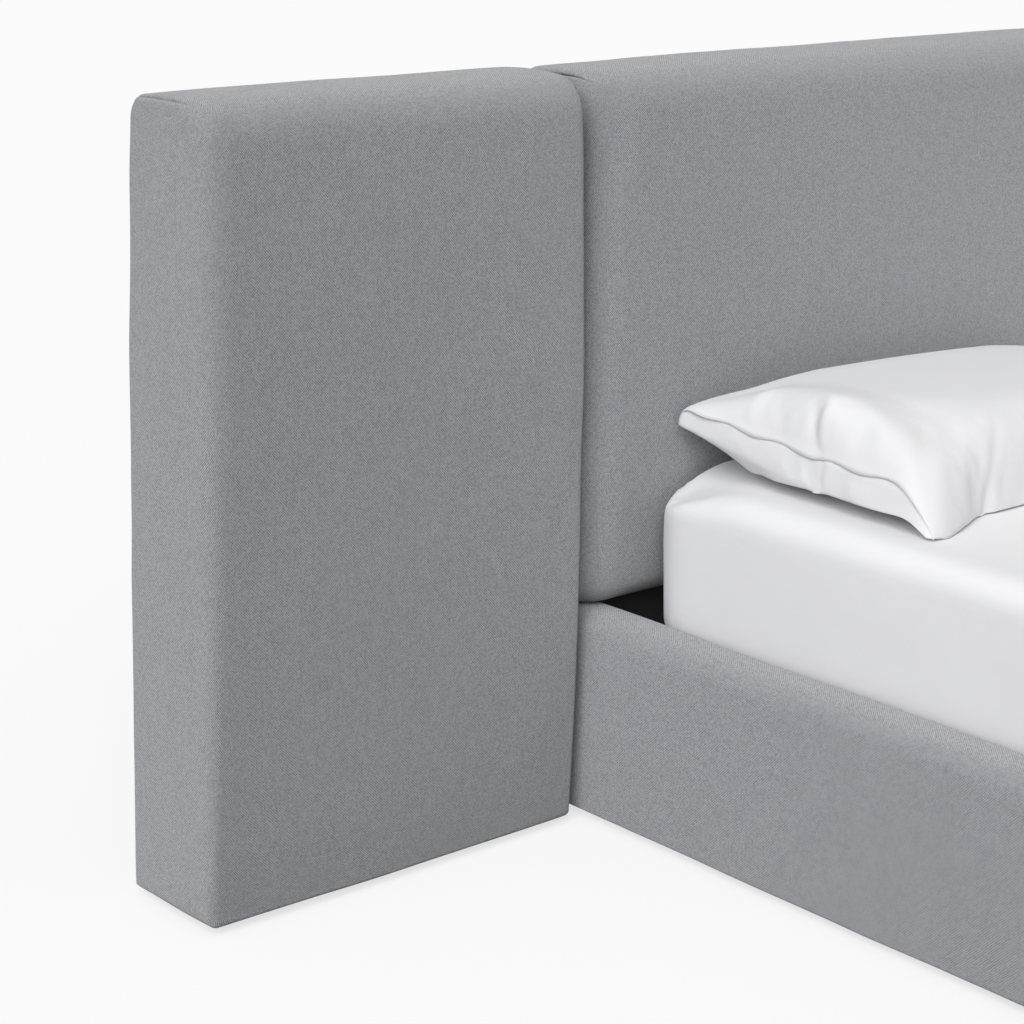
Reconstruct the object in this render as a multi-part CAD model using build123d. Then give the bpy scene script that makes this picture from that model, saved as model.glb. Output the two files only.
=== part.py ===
from build123d import *
import os

# Upholstered king bed with a wide winged headboard, made up with a mattress and two pillows.
# Millimetres. X runs across the bed, Y from the foot to the head, Z up.
# The origin is on the floor, in the middle of the bed's outline.

# Mattress and fitted sheet
mattress_width = 1930.0
mattress_length = 2032.0
mattress_height = 285.0
mattress_corner_radius = 80.0
mattress_top_radius = 45.0
mattress_side_bow = 7.0
mattress_side_flat = 2.0
sheet_thickness = 2.0
sheet_tuck = 120.0
seat_gap = 0.3

# Pillows
pillow_length = 875.0
pillow_depth = 480.0
pillow_thickness = 173.0
pillow_front_edge = 45.0
pillow_rear_edge = 95.0
pillow_hem_edge = 34.0
pillow_closed_edge = 30.0
pillow_edge_radius = 20.0
pillow_draw_in = 14.0
pillow_corner_cut = 3.0
pillow_overfull = 6.0
pillow_centre_gap = 15.0
pillow_head_gap = 10.0
pillowcase_thickness = 2.0
pillowcase_hem = 45.0

# Gaps round the mattress and under the covers
mattress_side_gap = 17.5
mattress_foot_gap = 15.0
mattress_head_gap = 8.0
mattress_recess = 73.0
glide_height = 12.0
glide_radius = 15.0
glide_sides = 12

# Upholstery shared by all the padded pieces
cover_thickness = 2.0
front_foam = 64.0
side_foam = 14.0
top_foam = 26.0
face_board_thickness = 9.0
back_panel_thickness = 5.0
frame_board = 30.0

# Headboard and wings
head_height = 1150.0
head_depth = 190.0
headboard_setback = 9.5
headboard_lift = 4.0
wing_width = 657.0
wing_gap = 40.0
head_front_crown = 19.0
head_crown_at_ends = 12.0
head_side_swell = 12.0
head_swell_at_back = 3.0
head_top_front_fall = 12.0
head_top_back_fall = 8.0
head_end_fall = 6.0
head_overfull = 3.0
head_front_radius = 28.0
head_top_front_radius = 45.0
head_top_back_radius = 20.0
headboard_bottom_radius = 38.0
wing_rail_count = 4
headboard_rail_count = 3
headboard_upright_count = 3
wing_glide_inset = 60.0
wing_glide_depths_shares = (0.25, 0.80)

# Side rails and foot rail
rail_height = 318.0
rail_thickness = 70.0
rail_board_thickness = 32.0
rail_top_foam = 12.0
rail_outer_radius = 34.0
rail_inner_radius = 14.0
rail_face_bow = 3.0
foot_corner_radius = 34.0
rail_glide_shares = (0.12, 0.50, 0.88)

# Slats, ledges and webbing
slat_count = 14
slat_width = 70.0
slat_thickness = 20.0
slat_corner_cut = 6.0
slat_end_gap = 4.0
slat_first = 95.0
ledge_width = 30.0
ledge_height = 45.0
ledge_end_gap = 10.0
webbing_width = 25.0
webbing_thickness = 1.5
webbing_shares = (0.33, 0.70)

# Centre beam, its hangers, legs and levelling feet
beam_width = 45.0
beam_height = 70.0
head_rail_thickness = 32.0
head_rail_height = 178.0
hanger_metal = 3.0
hanger_reach = 45.0
hanger_height = 60.0
hanger_flange = 30.0
hanger_play = 1.0
centre_leg_width = 45.0
centre_leg_clear = 30.0
centre_leg_shares = (0.14, 0.50, 0.86)
centre_leg_names = ("head", "mid", "foot")
pad_radius = 25.0
pad_height = 6.0
pad_sides = 6
stem_radius = 5.0
stem_length = 64.0
stem_clearance = 0.3
levelling_travel = 15.0
bore_spare = 3.0

# Steel plates, brackets and bolts
plate_metal = 3.0
wing_plate_height = 60.0
wing_plate_end = 18.0
wing_plate_shares = (0.30, 0.82)
rail_plate_metal = 4.0
rail_plate_length = 200.0
rail_plate_height = 100.0
rail_plate_base = 28.0
rail_plate_bolt_inset = 25.0
corner_bracket_reach = 100.0
corner_bracket_height = 110.0
corner_bracket_base = 48.0
corner_bolt_inset = 30.0
bolt_radius = 4.0
bolt_head_radius = 8.0
bolt_head_height = 5.0
bolt_length = 28.0
bolt_sides = 6

# How far a cutting solid runs past what it cuts
overrun = 5.0

# Places across the bed
rail_inner = mattress_width / 2 + mattress_side_gap
rail_outer = rail_inner + rail_thickness
headboard_half = rail_outer - headboard_setback
wing_inner = headboard_half + wing_gap
wing_outer = wing_inner + wing_width
pad_side = cover_thickness + side_foam
leg_outer = headboard_half - pad_side

# Places along the bed, with the headboard's front plane as the first one
inside_length = head_front_crown + mattress_head_gap + mattress_length + mattress_foot_gap
foot_reach = inside_length + rail_thickness + rail_face_bow
back_reach = head_depth + plate_metal + bolt_head_height
front_plane = (foot_reach - back_reach) / 2
back_plane = front_plane + head_depth
foot_inner = front_plane - inside_length
foot_outer = foot_inner - rail_thickness
face_board_front = front_plane + cover_thickness + front_foam
frame_front = face_board_front + face_board_thickness
frame_back = back_plane - back_panel_thickness

# Heights
cover_bottom = glide_height
head_top = cover_bottom + head_height
rail_top = cover_bottom + rail_height
headboard_bottom = rail_top + headboard_lift
slat_top = rail_top - mattress_recess
slat_bottom = slat_top - slat_thickness
mattress_bottom = slat_top + seat_gap
mattress_top = mattress_bottom + mattress_height
beam_bottom = slat_bottom - beam_height
timber_bottom = cover_bottom + cover_thickness
timber_top = head_top - cover_thickness - top_foam


def slab(x, y, z):
    """Box between a low and a high place on each axis."""
    size = [high - low for low, high in (x, y, z)]
    return Pos(x[0], y[0], z[0]) * Box(*size, align=(Align.MIN, Align.MIN, Align.MIN))


def both_sides(side, low, high):
    """The range from low to high on one side of the bed, in rising order."""
    return tuple(sorted((side * low, side * high)))


def place_at(span, share):
    """A place at a share of the way along a span."""
    return span[0] + share * (span[1] - span[0])


def bowed_face(corners, bows, radii):
    """Flat face with four sides that bow outwards and corners with their own radii."""
    points = [Vector(*corner) for corner in corners]
    edges = []
    for start, end, bow in zip(points, points[1:] + points[:1], bows):
        along = end - start
        outward = Vector(along.Y, -along.X).normalized()
        middle = (start + end) * 0.5 + outward * bow
        edges.append(ThreePointArc(start, middle, end) if bow else Line(start, end))
    face = make_face(edges)
    for point, radius in zip(points, radii):
        if radius > 0:
            corner = face.vertices().sort_by_distance((point.X, point.Y, 0))[0]
            face = fillet(corner, radius)
    return face


def block(plan, side, front, reach):
    """Solid that shows the three outlines from above, from the side and from the front."""
    from_above = extrude(Plane.XY * plan, reach, both=True)
    from_side = extrude(Plane.YZ * side, reach, both=True)
    from_front = extrude(Plane.XZ * front, reach, both=True)
    return from_above & from_side & from_front


def head_block(x, bottom, bottom_radius, inset, past_back):
    """Padded panel of the headboard: crowned front, full sides and a softly rounded top.

    In height the front, sides and top would swell past the plan's outline, which holds them back in the middle.
    """
    left, right = x[0] + inset, x[1] - inset
    low, high = bottom + inset, head_top - inset
    front = front_plane - head_crown_at_ends + inset
    back = back_plane + past_back
    swollen_left, swollen_right = left - head_swell_at_back, right + head_swell_at_back
    plan_bow = head_side_swell - head_swell_at_back
    plan = bowed_face(
        ((swollen_left, front), (swollen_right, front), (swollen_right, back), (swollen_left, back)),
        (head_front_crown - head_crown_at_ends, plan_bow, 0, plan_bow),
        (head_front_radius - inset, head_front_radius - inset, 0, 0),
    )
    front_top, back_top = high - head_top_front_fall, high - head_top_back_fall
    side = bowed_face(
        ((front_plane + inset, low), (back, low), (back, back_top), (front_plane + inset, front_top)),
        (0, 0, (head_top_front_fall + head_top_back_fall) / 2, head_front_crown + head_overfull),
        (max(bottom_radius - inset, 0), 0, 0 if past_back else head_top_back_radius,
         head_top_front_radius - inset),
    )
    side_top = high - head_end_fall
    front_view = bowed_face(
        ((left, low), (right, low), (right, side_top), (left, side_top)),
        (0, head_side_swell + head_overfull, head_end_fall + head_overfull, head_side_swell + head_overfull),
        (max(bottom_radius - inset, 0),) * 2 + (0, 0),
    )
    return block(plan, side, front_view, wing_outer + head_height + foot_reach)


def padded_panel(name, x, bottom, bottom_radius, floor):
    """Cover, foam, face board and back panel of one padded panel."""
    outer = head_block(x, bottom, bottom_radius, 0, 0)
    inner = head_block(x, bottom, bottom_radius, cover_thickness, overrun)
    behind = slab((x[0] - head_depth, x[1] + head_depth), (back_plane, back_plane + head_depth),
                  (0, head_top + head_depth))
    timber = slab((x[0] + pad_side, x[1] - pad_side), (face_board_front, back_plane), (floor, timber_top))
    timber_x = (x[0] + pad_side, x[1] - pad_side)
    return {
        f"{name}_cover": outer - inner,
        f"{name}_foam": inner - behind - timber,
        f"{name}_face_board": slab(timber_x, (face_board_front, frame_front), (floor, timber_top)),
        f"{name}_back_panel": slab(timber_x, (frame_back, back_plane), (floor, timber_top)),
    }


def level_boards(x, y, z, count):
    """Boards that lie across a frame, evenly spaced from its bottom to its top."""
    pitch = (z[1] - z[0] - frame_board) / (count - 1)
    starts = [z[0] + row * pitch for row in range(count)]
    return [slab(x, y, (start, start + frame_board)) for start in starts]


def upright_boards(x, y, z, count):
    """Boards that stand in a frame, evenly spaced between its sides."""
    pitch = (x[1] - x[0]) / (count + 1)
    middles = [x[0] + (column + 1) * pitch for column in range(count)]
    return [slab((middle - frame_board / 2, middle + frame_board / 2), y, z) for middle in middles]


def glide(x, y):
    """Plastic glide under a cover or a leg, nearly round."""
    return Pos(x, y, 0) * extrude(RegularPolygon(glide_radius, glide_sides), glide_height)


def bolt(surface, outward):
    """Hexagon bolt with its head on a surface. The shank in the timber is drawn with six sides too."""
    stand = Plane(origin=surface, z_dir=outward)
    head = extrude(RegularPolygon(bolt_head_radius, bolt_sides), bolt_head_height)
    shank = extrude(RegularPolygon(bolt_radius, bolt_sides), -bolt_length)
    return stand * (head + shank)


def less(shape, cutters):
    """A shape with the holes that the cutters leave in it."""
    for cutter in cutters:
        shape = shape - cutter
    return shape


def make_wing(side, name):
    """One wing: padded panel, timber frame and the glides under it."""
    x = both_sides(side, wing_inner, wing_outer)
    nodes = padded_panel(name, x, cover_bottom, 0, timber_bottom)
    inside = (x[0] + pad_side, x[1] - pad_side)
    y = (frame_front, frame_back)
    z = (timber_bottom, timber_top)
    stiles = [slab((inside[0], inside[0] + frame_board), y, z), slab((inside[1] - frame_board, inside[1]), y, z)]
    between = (inside[0] + frame_board, inside[1] - frame_board)
    nodes[f"{name}_frame"] = stiles + level_boards(between, y, z, wing_rail_count)
    across = (x[0] + wing_glide_inset, x[1] - wing_glide_inset)
    along = [place_at((front_plane, back_plane), share) for share in wing_glide_depths_shares]
    nodes[f"{name}_glides"] = [glide(gx, gy) for gx in across for gy in along]
    return nodes


def make_headboard():
    """Headboard: padded panel, timber frame, and legs that stand on the floor as its side stiles."""
    x = (-headboard_half, headboard_half)
    floor = headboard_bottom + pad_side
    nodes = padded_panel("headboard", x, headboard_bottom, headboard_bottom_radius, floor)
    y = (frame_front, frame_back)
    legs = {}
    for side, word in ((-1, "left"), (1, "right")):
        span = both_sides(side, rail_inner, leg_outer)
        legs[f"headboard_leg_{word}"] = slab(span, y, (glide_height, timber_top))
    nodes["headboard_cover"] = less(nodes["headboard_cover"], legs.values())
    nodes["headboard_foam"] = less(nodes["headboard_foam"], legs.values())
    inside = (-rail_inner, rail_inner)
    boards = level_boards(inside, y, (floor, timber_top), headboard_rail_count)
    pitch = (timber_top - floor - frame_board) / (headboard_rail_count - 1)
    for row in range(headboard_rail_count - 1):
        low = floor + row * pitch + frame_board
        boards += upright_boards(inside, y, (low, low + pitch - frame_board), headboard_upright_count)
    nodes["headboard_frame"] = boards
    leg_middle = (rail_inner + leg_outer) / 2
    nodes["headboard_leg_glides"] = [glide(side * leg_middle, (y[0] + y[1]) / 2) for side in (-1, 1)]
    nodes.update(legs)
    return nodes


def rail_section(side, inset):
    """Section of a side rail, seen along the bed."""
    inner, outer = side * (rail_inner + inset), side * (rail_outer - inset)
    low, high = cover_bottom + inset, rail_top - inset
    if side > 0:
        corners = ((inner, low), (outer, low), (outer, high), (inner, high))
        bows = (0, rail_face_bow, 0, 0)
        radii = (0, 0, rail_outer_radius - inset, rail_inner_radius - inset)
    else:
        corners = ((outer, low), (inner, low), (inner, high), (outer, high))
        bows = (0, 0, 0, rail_face_bow)
        radii = (0, 0, rail_inner_radius - inset, rail_outer_radius - inset)
    return bowed_face(corners, bows, radii)


def make_side_rail(side, name):
    """One side rail: board on the mattress side, foam over its face and top, and the cover round both."""
    length = frame_front - foot_inner
    at_head = Plane(origin=(0, frame_front, 0), x_dir=(1, 0, 0), z_dir=(0, -1, 0))
    outer = extrude(at_head * rail_section(side, 0), length)
    inner = extrude(at_head * rail_section(side, cover_thickness), length)
    board_x = both_sides(side, rail_inner + cover_thickness, rail_inner + cover_thickness + rail_board_thickness)
    board_top = rail_top - cover_thickness - rail_top_foam
    board = slab(board_x, (foot_inner, frame_front), (timber_bottom, board_top))
    return {f"{name}_board": board, f"{name}_foam": inner - board, f"{name}_cover": outer - inner}


def foot_block(inset):
    """Foot rail's padded outline, with its two outer corners rounded."""
    half = rail_outer - inset
    front, back = foot_outer + inset, foot_inner - inset
    low, high = cover_bottom + inset, rail_top - inset
    corner = foot_corner_radius - inset
    plan_front, plan_half = front - 2 * rail_face_bow, half + rail_face_bow
    plan = bowed_face(
        ((-plan_half, plan_front), (plan_half, plan_front), (plan_half, back), (-plan_half, back)),
        (0, 0, 0, 0), (corner, corner, 0, 0),
    )
    side = bowed_face(
        ((front, low), (back, low), (back, high), (front, high)),
        (0, 0, 0, rail_face_bow),
        (0, 0, rail_inner_radius - inset, rail_outer_radius - inset),
    )
    edge = rail_inner_radius - inset
    front_view = bowed_face(
        ((-half, low), (half, low), (half, high), (-half, high)),
        (0, 0, 0, 0), (0, 0, edge, edge),
    )
    return block(plan, side, front_view, wing_outer + foot_reach)


def make_foot_rail():
    """Foot rail, built like the side rails but wrapped round both ends."""
    outer, inner = foot_block(0), foot_block(cover_thickness)
    board_back = foot_inner - cover_thickness
    half = rail_inner + cover_thickness + rail_board_thickness
    board_top = rail_top - cover_thickness - rail_top_foam
    board = slab((-half, half), (board_back - rail_board_thickness, board_back), (timber_bottom, board_top))
    return {"foot_rail_board": board, "foot_rail_foam": inner - board, "foot_rail_cover": outer - inner}


def make_rail_glides():
    """Glides under the side rails and the foot rail, below their boards."""
    middle = rail_inner + cover_thickness + rail_board_thickness / 2
    along = [place_at((foot_inner, frame_front), share) for share in rail_glide_shares]
    foot_y = foot_inner - cover_thickness - rail_board_thickness / 2
    across = [place_at((-rail_outer, rail_outer), share) for share in rail_glide_shares]
    return {
        "side_rail_left_glides": [glide(-middle, y) for y in along],
        "side_rail_right_glides": [glide(middle, y) for y in along],
        "foot_rail_glides": [glide(x, foot_y) for x in across],
    }


def make_slats(side, word):
    """Slats from a side ledge to the centre beam, and the webbing that keeps them apart."""
    x = both_sides(side, slat_end_gap, rail_inner - slat_end_gap)
    first = front_plane - slat_first
    last = foot_inner + slat_first
    pitch = (first - last) / (slat_count - 1)
    slats = []
    for number in range(slat_count):
        middle = first - number * pitch
        slat = slab(x, (middle - slat_width / 2, middle + slat_width / 2), (slat_bottom, slat_top))
        slats.append(chamfer(slat.edges().filter_by(Axis.Z), slat_corner_cut))
    straps = []
    for share in webbing_shares:
        strap_middle = side * share * rail_inner
        strap_x = (strap_middle - webbing_width / 2, strap_middle + webbing_width / 2)
        strap_y = (last - slat_width / 2, first + slat_width / 2)
        straps.append(slab(strap_x, strap_y, (slat_bottom - webbing_thickness, slat_bottom)))
    return {f"slats_{word}": slats, f"slat_webbing_{word}": straps}


def make_ledges():
    """Timber ledges along the side rails, which carry the outer ends of the slats."""
    y = (foot_inner + ledge_end_gap, frame_front - ledge_end_gap)
    z = (slat_bottom - ledge_height, slat_bottom)
    return {
        f"slat_ledge_{word}": slab(both_sides(side, rail_inner - ledge_width, rail_inner), y, z)
        for side, word in ((-1, "left"), (1, "right"))
    }


def hanger(face, inward):
    """Steel hanger for one end of the beam: a flange on the rail and a cradle under the beam."""
    half = beam_width / 2 + hanger_play
    low = beam_bottom - hanger_metal
    back = tuple(sorted((face, face + inward * hanger_metal)))
    reach = tuple(sorted((face, face + inward * hanger_reach)))
    z = (low, low + hanger_height)
    flange = slab((-half - hanger_flange, half + hanger_flange), back, z)
    floor = slab((-half - hanger_metal, half + hanger_metal), reach, (low, beam_bottom))
    cheeks = [slab(both_sides(side, half, half + hanger_metal), reach, z) for side in (-1, 1)]
    return flange + floor + cheeks[0] + cheeks[1]


def levelling_foot(x, y):
    """Levelling foot: a hexagonal pad that a spanner turns, and the stem that runs up into the leg."""
    pad = extrude(RegularPolygon(pad_radius, pad_sides), pad_height)
    stem = Pos(0, 0, pad_height) * Cylinder(stem_radius, stem_length, align=(Align.CENTER, Align.CENTER, Align.MIN))
    return Pos(x, y, 0) * (pad + stem)


def make_centre():
    """Cross rail under the headboard, centre beam, hangers, legs and levelling feet."""
    cross_y = (frame_front, frame_front + head_rail_thickness)
    cross_z = (rail_top - head_rail_height, rail_top)
    beam_y = (foot_inner + hanger_metal + hanger_play, frame_front - hanger_metal - hanger_play)
    half = beam_width / 2
    nodes = {
        "head_rail": slab((-rail_inner, rail_inner), cross_y, cross_z),
        "centre_beam": slab((-half, half), beam_y, (beam_bottom, slat_bottom)),
        "beam_hangers": [hanger(foot_inner, 1), hanger(frame_front, -1)],
    }
    stem_top = pad_height + stem_length
    bore_top = stem_top + levelling_travel + bore_spare
    leg_half = centre_leg_width / 2
    for share, word in zip(centre_leg_shares, centre_leg_names):
        y = place_at((front_plane, foot_inner), share)
        leg = slab((-leg_half, leg_half), (y - leg_half, y + leg_half), (centre_leg_clear, beam_bottom))
        bore = Pos(0, y, bore_top) * Cylinder(
            stem_radius + stem_clearance, bore_top, align=(Align.CENTER, Align.CENTER, Align.MAX))
        nodes[f"centre_leg_{word}"] = leg - bore
        nodes[f"levelling_foot_{word}"] = levelling_foot(0, y)
    return nodes


def make_wing_plates():
    """Steel plates across the gap between headboard and wings, on the back, with their bolts."""
    leg_middle = (rail_inner + leg_outer) / 2
    stile_middle = wing_inner + pad_side + frame_board / 2
    x_low, x_high = leg_middle - wing_plate_end, stile_middle + wing_plate_end
    plates, bolts = [], []
    for side in (-1, 1):
        for share in wing_plate_shares:
            middle = place_at((headboard_bottom, timber_top), share)
            z = (middle - wing_plate_height / 2, middle + wing_plate_height / 2)
            plates.append(slab(both_sides(side, x_low, x_high), (back_plane, back_plane + plate_metal), z))
            for x in (leg_middle, stile_middle):
                bolts.append(bolt((side * x, back_plane + plate_metal, middle), (0, 1, 0)))
    return plates, bolts


def make_rail_plates():
    """Flat steel plates that join the side rails to the headboard legs, on the mattress side."""
    plates, bolts = [], []
    y = (frame_front - rail_plate_length / 2, frame_front + rail_plate_length / 2)
    z = (cover_bottom + rail_plate_base, cover_bottom + rail_plate_base + rail_plate_height)
    face = rail_inner - rail_plate_metal
    for side in (-1, 1):
        plates.append(slab(both_sides(side, face, rail_inner), y, z))
        for by in (y[0] + rail_plate_bolt_inset, y[1] - rail_plate_bolt_inset):
            for bz in (z[0] + rail_plate_bolt_inset, z[1] - rail_plate_bolt_inset):
                bolts.append(bolt((side * face, by, bz), (-side, 0, 0)))
    return plates, bolts


def make_foot_brackets():
    """Steel angles in the two foot corners, each bolted to its side rail and to the foot rail."""
    brackets, bolts = [], []
    z = (cover_bottom + corner_bracket_base, cover_bottom + corner_bracket_base + corner_bracket_height)
    metal = rail_plate_metal
    face_x, face_y = rail_inner - metal, foot_inner + metal
    far_x, far_y = rail_inner - corner_bracket_reach, foot_inner + corner_bracket_reach
    for side in (-1, 1):
        on_rail = slab(both_sides(side, face_x, rail_inner), (foot_inner, far_y), z)
        on_foot = slab(both_sides(side, far_x, rail_inner), (foot_inner, face_y), z)
        brackets.append(on_rail + on_foot)
        for bz in (z[0] + corner_bolt_inset, z[1] - corner_bolt_inset):
            bolts.append(bolt((side * face_x, far_y - corner_bolt_inset, bz), (-side, 0, 0)))
            bolts.append(bolt((side * (far_x + corner_bolt_inset), face_y, bz), (0, 1, 0)))
    return brackets, bolts


def mattress_block(inset):
    """Mattress outline: square-shouldered, with rounded edges and sides that swell a little."""
    swell = mattress_side_bow - mattress_side_flat
    half = mattress_width / 2 - swell - inset
    end = front_plane - head_front_crown - mattress_head_gap
    head = end - swell - inset
    foot = end - mattress_length + swell + inset
    low, high = mattress_bottom + inset, mattress_top - inset
    corner, top = mattress_corner_radius - inset, mattress_top_radius - inset
    plan = bowed_face(
        ((-half - swell, foot - swell), (half + swell, foot - swell), (half + swell, head + swell),
         (-half - swell, head + swell)),
        (0, 0, 0, 0), (corner,) * 4,
    )
    side = bowed_face(
        ((foot, low), (head, low), (head, high), (foot, high)),
        (0, mattress_side_bow, 0, mattress_side_bow), (0, 0, top, top),
    )
    front_view = bowed_face(
        ((-half, low), (half, low), (half, high), (-half, high)),
        (0, mattress_side_bow, 0, mattress_side_bow), (0, 0, top, top),
    )
    return block(plan, side, front_view, mattress_width + mattress_length)


def make_mattress():
    """Mattress core in its fitted sheet, whose hem is tucked in underneath."""
    outer, core = mattress_block(0), mattress_block(sheet_thickness)
    half = mattress_width / 2 - sheet_tuck
    head = front_plane - head_front_crown - mattress_head_gap - sheet_tuck
    foot = head - mattress_length + 2 * sheet_tuck
    hem = slab((-half, half), (foot, head), (mattress_bottom - overrun, mattress_bottom + sheet_thickness))
    return {"mattress_core": core, "fitted_sheet": outer - core - hem}


def pillow_block(side, inset, past_hem):
    """Pillow outline: crowned both ways, drawn in between its corners and flat where it lies."""
    outer_end = pillow_centre_gap + pillow_length + past_hem
    x = both_sides(side, pillow_centre_gap + inset, outer_end)
    rear = front_plane - head_front_crown - pillow_head_gap
    front = rear - pillow_depth + inset
    rear -= inset
    low = mattress_top + seat_gap + inset
    crown = low + pillow_thickness - 2 * inset
    edges = [edge - 2 * inset for edge in (pillow_front_edge, pillow_rear_edge, pillow_hem_edge, pillow_closed_edge)]
    front_top, rear_top, hem_top, closed_top = [low + edge for edge in edges]
    plan = bowed_face(
        ((x[0], front), (x[1], front), (x[1], rear), (x[0], rear)),
        (-pillow_draw_in, 0, -pillow_draw_in, 0), (0, 0, 0, 0),
    )
    radius = pillow_edge_radius - inset
    blunt_front, blunt_rear = front + pillow_corner_cut, rear - pillow_corner_cut
    side_view = bowed_face(
        ((blunt_front, low), (blunt_rear, low), (blunt_rear, rear_top), (blunt_front, front_top)),
        (0, 0, crown - (front_top + rear_top) / 2, 0), (0, 0, radius, radius),
    )
    left_top, right_top = (hem_top, closed_top) if side < 0 else (closed_top, hem_top)
    front_view = bowed_face(
        ((x[0], low), (x[1], low), (x[1], right_top), (x[0], left_top)),
        (0, 0, crown + pillow_overfull - (hem_top + closed_top) / 2, 0), (0, 0, 0, 0),
    )
    return block(plan, side_view, front_view, mattress_width + mattress_length)


def make_pillow(side, word):
    """Pillow in its case, whose open hem reaches past the filling on the outer side."""
    outer = pillow_block(side, 0, 0)
    cavity = pillow_block(side, pillowcase_thickness, overrun)
    filled_end = pillow_centre_gap + pillow_length - pillowcase_hem
    y = (front_plane - pillow_depth * 2, front_plane)
    filled = slab(both_sides(side, 0, filled_end), y, (mattress_top, mattress_top + pillow_thickness * 2))
    return {f"pillowcase_{word}": outer - cavity, f"pillow_insert_{word}": cavity & filled}


def all_nodes():
    """Every named piece of the bed."""
    nodes = make_headboard()
    nodes.update(make_wing(-1, "wing_left"))
    nodes.update(make_wing(1, "wing_right"))
    nodes.update(make_side_rail(-1, "side_rail_left"))
    nodes.update(make_side_rail(1, "side_rail_right"))
    nodes.update(make_foot_rail())
    nodes.update(make_rail_glides())
    nodes.update(make_slats(-1, "left"))
    nodes.update(make_slats(1, "right"))
    nodes.update(make_ledges())
    nodes.update(make_centre())
    nodes.update(make_mattress())
    nodes.update(make_pillow(-1, "left"))
    nodes.update(make_pillow(1, "right"))
    fasten(nodes)
    return nodes


def fasten(nodes):
    """Add the plates, brackets and bolts, with a hole for each bolt in what it passes through."""
    wing_plates, wing_bolts = make_wing_plates()
    rail_plates, rail_bolts = make_rail_plates()
    brackets, bracket_bolts = make_foot_brackets()
    nodes["wing_plates"] = [less(plate, wing_bolts) for plate in wing_plates]
    nodes["rail_head_plates"] = [less(plate, rail_bolts) for plate in rail_plates]
    nodes["foot_corner_brackets"] = [less(bracket, bracket_bolts) for bracket in brackets]
    nodes["wing_plate_bolts"] = wing_bolts
    nodes["rail_bolts"] = rail_bolts + bracket_bolts
    for name in ("headboard_back_panel", "wing_left_back_panel", "wing_right_back_panel"):
        nodes[name] = less(nodes[name], wing_bolts)
    for name in ("wing_left_frame", "wing_right_frame"):
        nodes[name] = [less(board, wing_bolts) for board in nodes[name]]
    for name in ("headboard_leg_left", "headboard_leg_right"):
        nodes[name] = less(nodes[name], wing_bolts + rail_bolts)
    for name in ("side_rail_left", "side_rail_right", "foot_rail"):
        for layer in ("board", "cover"):
            nodes[f"{name}_{layer}"] = less(nodes[f"{name}_{layer}"], rail_bolts + bracket_bolts)


def write_node(name, shapes):
    """Write one node, as a single solid or as a group of separate ones."""
    group = shapes if isinstance(shapes, list) else [shapes]
    solids = [solid for shape in group for solid in shape.solids()]
    export_step(solids[0] if len(solids) == 1 else Compound(solids), f"parts/{name}.step")


os.makedirs("parts", exist_ok=True)
for node_name, node_shapes in all_nodes().items():
    write_node(node_name, node_shapes)
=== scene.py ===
import math
from fnmatch import fnmatch

import bpy
import numpy as np
from mathutils import Matrix, Vector
from mathutils.bvhtree import BVHTree


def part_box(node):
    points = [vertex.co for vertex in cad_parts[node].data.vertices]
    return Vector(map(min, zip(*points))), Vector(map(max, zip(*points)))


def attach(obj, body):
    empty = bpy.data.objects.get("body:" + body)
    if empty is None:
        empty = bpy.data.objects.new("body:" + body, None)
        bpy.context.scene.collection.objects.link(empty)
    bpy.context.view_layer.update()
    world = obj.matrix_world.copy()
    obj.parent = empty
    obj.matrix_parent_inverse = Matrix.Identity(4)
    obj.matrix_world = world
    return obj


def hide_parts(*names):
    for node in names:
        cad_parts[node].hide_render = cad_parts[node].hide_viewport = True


# Dresses the upholstered bed: padded cloth on its head and rails, the made mattress, the pillows,
# the finish of what stays rigid, a pale studio and a camera. Metres, in the bed's own frame.

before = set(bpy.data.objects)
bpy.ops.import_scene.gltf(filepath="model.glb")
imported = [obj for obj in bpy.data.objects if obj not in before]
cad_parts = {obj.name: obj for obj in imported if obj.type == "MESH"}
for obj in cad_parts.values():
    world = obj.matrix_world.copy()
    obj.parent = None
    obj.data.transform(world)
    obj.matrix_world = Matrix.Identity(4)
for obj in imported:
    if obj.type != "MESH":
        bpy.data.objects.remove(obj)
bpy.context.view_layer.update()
MM = 0.001
TOUCHING, NO_LENGTH = 1e-9, 1e-12

# Camera, fitted to the edges of the bed in the photograph
CAMERA_PLACE = (-3.674, -1.823, 1.576)
CAMERA_YAW, CAMERA_PITCH, CAMERA_ROLL = (math.radians(turn) for turn in (41.34, 11.35, 1.17))
CAMERA_SENSOR, CAMERA_LENS, CAMERA_SHIFT, CAMERA_REACH = 36.0, 91.93, -0.20, 200.0

# Light: a soft sky all round and one broad light, up in front of the bed's left side
WORLD_LIGHT, BACKDROP_WHITE = 0.42, 0.97
SUN_LIGHT = 2.83
SUN_FROM = (-0.66, -0.42, 0.62)
SUN_SPREAD = math.radians(50)
FLOOR_SIZE, FLOOR_TONE, FLOOR_SHOWN_TONE, FLOOR_LIFT = 60.0, 0.22, 0.27, 0.70

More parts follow.
